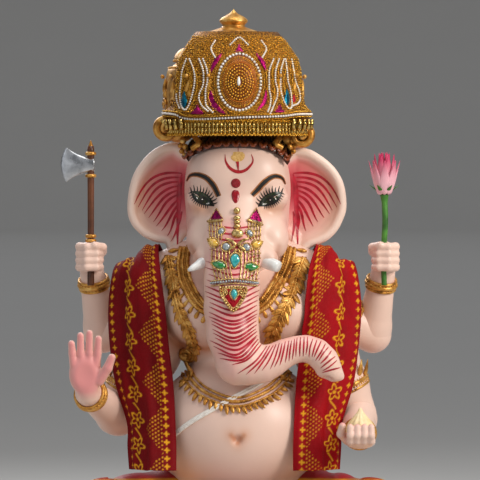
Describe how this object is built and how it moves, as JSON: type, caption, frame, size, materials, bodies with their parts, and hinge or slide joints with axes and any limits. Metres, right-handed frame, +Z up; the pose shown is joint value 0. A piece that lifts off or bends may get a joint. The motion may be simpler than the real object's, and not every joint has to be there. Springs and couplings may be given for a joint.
{
  "type": "elephant headed deity figure",
  "caption": "Seated four-armed elephant-headed deity figure on an oval petal pedestal, with crown, beaded crown cover, trunk ornament, shawl and hand-held pieces.",
  "frame": {"origin": "centre of the pedestal's resting face, on the floor", "axes": "+Z up, the figure faces -Y, +X towards the figure's own left hand"},
  "size_m": [0.46, 0.32, 0.74],
  "materials": {
    "painted_wood": "satin",
    "petal_paint": "satin",
    "skin": "satin",
    "bare_wood": "matte",
    "tusk": "gloss",
    "hair": "satin",
    "gold_paint": "satin",
    "thread": "satin",
    "bindi": "matte",
    "shawl_cloth": "satin",
    "zari": "satin",
    "pearl": "gloss",
    "bugle": "gloss",
    "jewel_gold": "polished",
    "green_glass": "polished",
    "turquoise": "gloss",
    "red_enamel": "gloss",
    "shaft_wood": "satin",
    "silver_paint": "satin",
    "gold_trim": "satin",
    "lotus_green": "satin",
    "lotus_pink": "satin",
    "modak": "satin"
  },
  "bodies": {
    "idol": {"pedestal": "painted_wood", "pedestal_petals": "petal_paint", "body_casting": "skin", "core_post": "bare_wood", "shoulder_bar": "bare_wood", "head_casting": "skin", "left_ear": "skin", "right_ear": "skin", "whole_tusk": "tusk", "broken_tusk": "tusk", "hair_fringe": "hair", "crown_casting": "gold_paint", "crown_scrolls": "gold_paint", "left_front_arm": "skin", "right_front_arm": "skin", "left_rear_arm": "skin", "right_rear_arm": "skin", "offering_hand": "skin", "blessing_hand": "skin", "lotus_fist": "skin", "axe_fist": "skin", "collar_necklace": "gold_paint", "leaf_garland": "gold_paint", "garland_clasps": "gold_paint", "lower_festoon": "gold_paint", "sacred_thread": "thread", "armlets": "gold_paint", "bangles": "gold_paint", "anklets": "gold_paint", "forehead_bindi": "bindi", "shawl": "shawl_cloth"},
    "crown_cover": {"crown_cover_shell": "zari", "crown_cover_pearls": "pearl", "crown_cover_fringe": "bugle", "crown_cover_medallion": "bugle"},
    "trunk_jewel": {"jewel_net": "jewel_gold", "jewel_stem": "jewel_gold", "jewel_bar": "jewel_gold", "jewel_stones": "green_glass", "jewel_drops": "turquoise"},
    "pendant": {"pendant_plate": "red_enamel", "pendant_drop": "turquoise"},
    "axe": {"axe_shaft": "shaft_wood", "axe_blade": "silver_paint", "axe_collar": "gold_trim"},
    "lotus": {"lotus_stem": "lotus_green", "lotus_bud": "lotus_pink"},
    "sweet": {"modak": "modak"}
  },
  "joints": [
    {"name": "crown_cover_off", "type": "slide", "parent": "idol", "child": "crown_cover", "axis": [0, -1, 0], "range_m": [0, 0.15]},
    {"name": "trunk_jewel_off", "type": "slide", "parent": "idol", "child": "trunk_jewel", "axis": [0, -1, 0], "range_m": [0, 0.12]},
    {"name": "pendant_swing", "type": "hinge", "parent": "trunk_jewel", "child": "pendant", "pos_m": [-0.0055, -0.1208, 0.3904], "axis": [-1, 0, 0], "range_deg": [0, 35]},
    {"name": "axe_lift", "type": "slide", "parent": "idol", "child": "axe", "axis": [0, 0, 1], "range_m": [0, 0.07]},
    {"name": "lotus_lift", "type": "slide", "parent": "idol", "child": "lotus", "axis": [0, 0, 1], "range_m": [0, 0.07]},
    {"name": "modak_lift", "type": "slide", "parent": "idol", "child": "sweet", "axis": [0, 0, 1], "range_m": [0, 0.05]}
  ]
}
